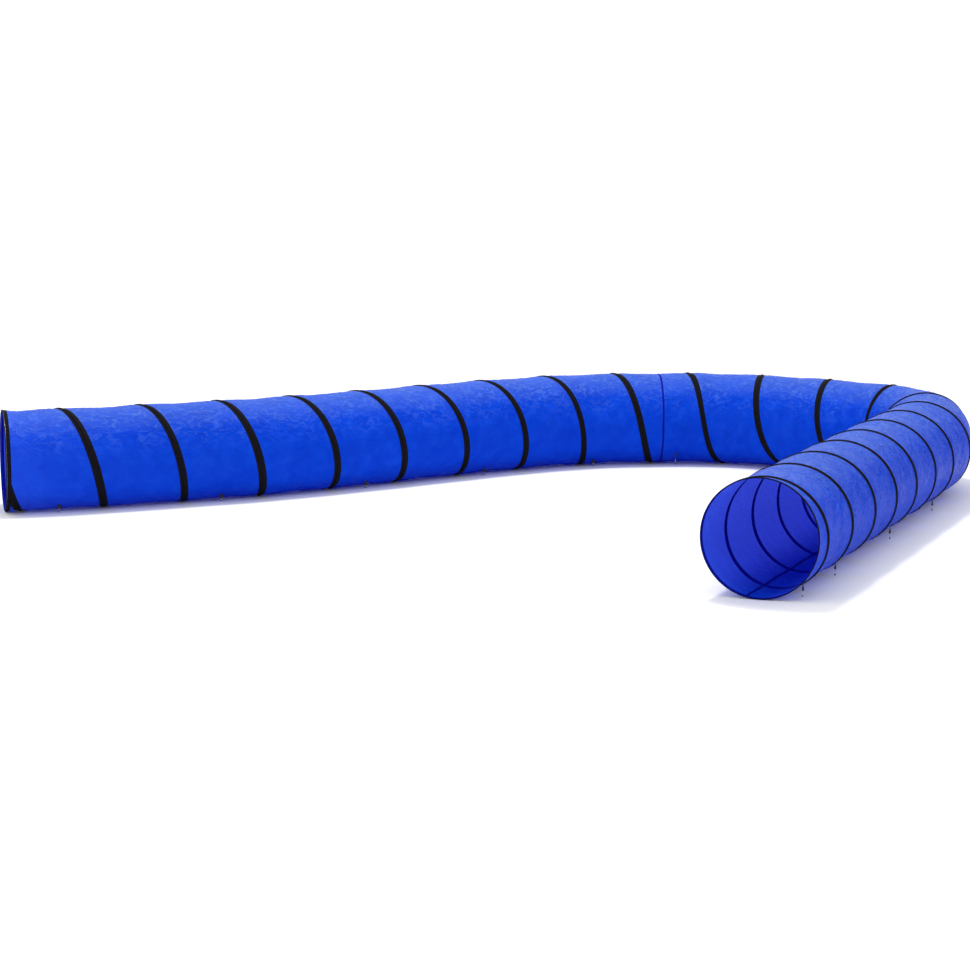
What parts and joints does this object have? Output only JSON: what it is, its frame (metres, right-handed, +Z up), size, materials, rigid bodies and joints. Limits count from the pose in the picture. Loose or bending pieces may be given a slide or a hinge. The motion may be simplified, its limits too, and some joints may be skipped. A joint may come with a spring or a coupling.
{
  "type": "agility tunnel",
  "caption": "Long flexible dog agility tunnel: a blue fabric tube on a spiral steel spring with black binding tape, laid out in a hook, with peg tabs along its lower sides.",
  "frame": {"origin": "on the ground, under the middle of the laid-out tunnel's footprint", "axes": "+Z up from the ground; +X along the footprint's longest side, from the far mouth towards the bend; +Y towards the back of the bend"},
  "size_m": [5.4318, 4.9238, 0.55],
  "materials": {
    "cover": "light crinkled polyester taffeta, royal blue, with a soft sheen",
    "tape": "woven black polyester binding tape, matt",
    "seam": "navy seam tape, matt",
    "wire": "drawn spring steel wire",
    "webbing": "woven black webbing with a pale elastic loop and a grey bead"
  },
  "bodies": {
    "section_01": {"cover_panel_01": "cover", "spring_wire_01": "wire", "binding_tape_01": "tape", "near_mouth_hoop": "wire", "near_mouth_tape": "tape", "peg_tab_01": "webbing", "peg_tab_02": "webbing"},
    "section_02": {"cover_panel_02": "cover", "spring_wire_02": "wire", "binding_tape_02": "tape"},
    "section_03": {"cover_panel_03": "cover", "spring_wire_03": "wire", "binding_tape_03": "tape", "peg_tab_03": "webbing"},
    "section_04": {"cover_panel_04": "cover", "spring_wire_04": "wire", "binding_tape_04": "tape", "peg_tab_04": "webbing"},
    "section_05": {"cover_panel_05": "cover", "spring_wire_05": "wire", "binding_tape_05": "tape"},
    "section_06": {"cover_panel_06": "cover", "spring_wire_06": "wire", "binding_tape_06": "tape"},
    "section_07": {"cover_panel_07": "cover", "spring_wire_07": "wire", "binding_tape_07": "tape"},
    "section_08": {"cover_panel_08": "cover", "spring_wire_08": "wire", "binding_tape_08": "tape"},
    "section_09": {"cover_panel_09": "cover", "spring_wire_09": "wire", "binding_tape_09": "tape", "peg_tab_05": "webbing", "cover_seam_tape": "seam"},
    "section_10": {"cover_panel_10": "cover", "spring_wire_10": "wire", "binding_tape_10": "tape", "peg_tab_06": "webbing"},
    "section_11": {"cover_panel_11": "cover", "spring_wire_11": "wire", "binding_tape_11": "tape"},
    "section_12": {"cover_panel_12": "cover", "spring_wire_12": "wire", "binding_tape_12": "tape", "peg_tab_07": "webbing"},
    "section_13": {"cover_panel_13": "cover", "spring_wire_13": "wire", "binding_tape_13": "tape", "peg_tab_08": "webbing"},
    "section_14": {"cover_panel_14": "cover", "spring_wire_14": "wire", "binding_tape_14": "tape", "peg_tab_09": "webbing"},
    "section_15": {"cover_panel_15": "cover", "spring_wire_15": "wire", "binding_tape_15": "tape", "far_mouth_hoop": "wire", "far_mouth_tape": "tape", "peg_tab_10": "webbing"}
  },
  "joints": [
    {"name": "near_gather_1", "type": "slide", "parent": "section_01", "child": "section_02", "axis": [0.3665, 0.9304, 0], "range_m": [-0.6, 0], "deforming": ["cover_panel_02", "binding_tape_02", "spring_wire_02", "cover_panel_01", "binding_tape_01", "spring_wire_01"]},
    {"name": "near_gather_2", "type": "slide", "parent": "section_02", "child": "section_03", "axis": [0.3665, 0.9304, 0], "range_m": [-0.8, 0], "deforming": ["cover_panel_03", "binding_tape_03", "spring_wire_03"]},
    {"name": "near_gather_3", "type": "slide", "parent": "section_03", "child": "section_04", "axis": [0.3665, 0.9304, 0], "range_m": [-0.8, 0], "deforming": ["cover_panel_04", "binding_tape_04", "spring_wire_04"]},
    {"name": "corner_bend_1", "type": "hinge", "parent": "section_04", "child": "section_05", "pos_m": [2.39839, 0.85272, 0], "axis": [0, 0, 1], "range_deg": [-16, 4], "deforming": ["cover_panel_05", "binding_tape_05"]},
    {"name": "corner_bend_2", "type": "hinge", "parent": "section_05", "child": "section_06", "pos_m": [2.41264, 1.2987, 0], "axis": [0, 0, 1], "range_deg": [-45, 11.25], "deforming": ["cover_panel_06", "binding_tape_06"]},
    {"name": "corner_bend_3", "type": "hinge", "parent": "section_06", "child": "section_07", "pos_m": [2.15334, 1.66228, 0], "axis": [0, 0, 1], "range_deg": [-12, 3], "deforming": ["cover_panel_07", "binding_tape_07"]},
    {"name": "corner_bend_4", "type": "hinge", "parent": "section_07", "child": "section_08", "pos_m": [1.80287, 1.9465, 0], "axis": [0, 0, 1], "range_deg": [-9, 2.25], "deforming": ["cover_panel_08", "binding_tape_08"]},
    {"name": "corner_bend_5", "type": "hinge", "parent": "section_08", "child": "section_09", "pos_m": [1.40246, 2.15167, 0], "axis": [0, 0, 1], "range_deg": [-28, 7], "deforming": ["cover_panel_09", "binding_tape_09"]},
    {"name": "corner_bend_6", "type": "hinge", "parent": "section_09", "child": "section_10", "pos_m": [0.95372, 2.17886, 0], "axis": [0, 0, 1], "range_deg": [-11, 2.75], "deforming": ["cover_panel_10", "binding_tape_10"]},
    {"name": "corner_bend_7", "type": "hinge", "parent": "section_10", "child": "section_11", "pos_m": [0.51077, 2.097, 0], "axis": [0, 0, 1], "range_deg": [-20, 5], "deforming": ["cover_panel_11", "binding_tape_11"]},
    {"name": "corner_bend_8", "type": "hinge", "parent": "section_11", "child": "section_12", "pos_m": [0.1122, 1.88617, 0], "axis": [0, 0, 1], "range_deg": [-7, 1.75], "deforming": ["cover_panel_12", "binding_tape_12"]},
    {"name": "far_gather_1", "type": "slide", "parent": "section_12", "child": "section_13", "axis": [-0.7826, -0.6225, 0], "range_m": [-0.8, 0], "deforming": ["cover_panel_13", "binding_tape_13", "spring_wire_13"]},
    {"name": "far_gather_2", "type": "slide", "parent": "section_13", "child": "section_14", "axis": [-0.8572, -0.515, 0], "range_m": [-0.8, 0], "deforming": ["cover_panel_14", "binding_tape_14", "spring_wire_14"]},
    {"name": "far_gather_3", "type": "slide", "parent": "section_14", "child": "section_15", "axis": [-0.9135, -0.4067, 0], "range_m": [-0.5, 0], "deforming": ["cover_panel_15", "binding_tape_15", "spring_wire_15"]}
  ],
  "couplings": [
    {"joint": "near_gather_2", "follows": "near_gather_1", "ratio": 1.3333},
    {"joint": "near_gather_3", "follows": "near_gather_1", "ratio": 1.3333},
    {"joint": "far_gather_2", "follows": "far_gather_1", "ratio": 1},
    {"joint": "far_gather_3", "follows": "far_gather_1", "ratio": 0.625}
  ]
}
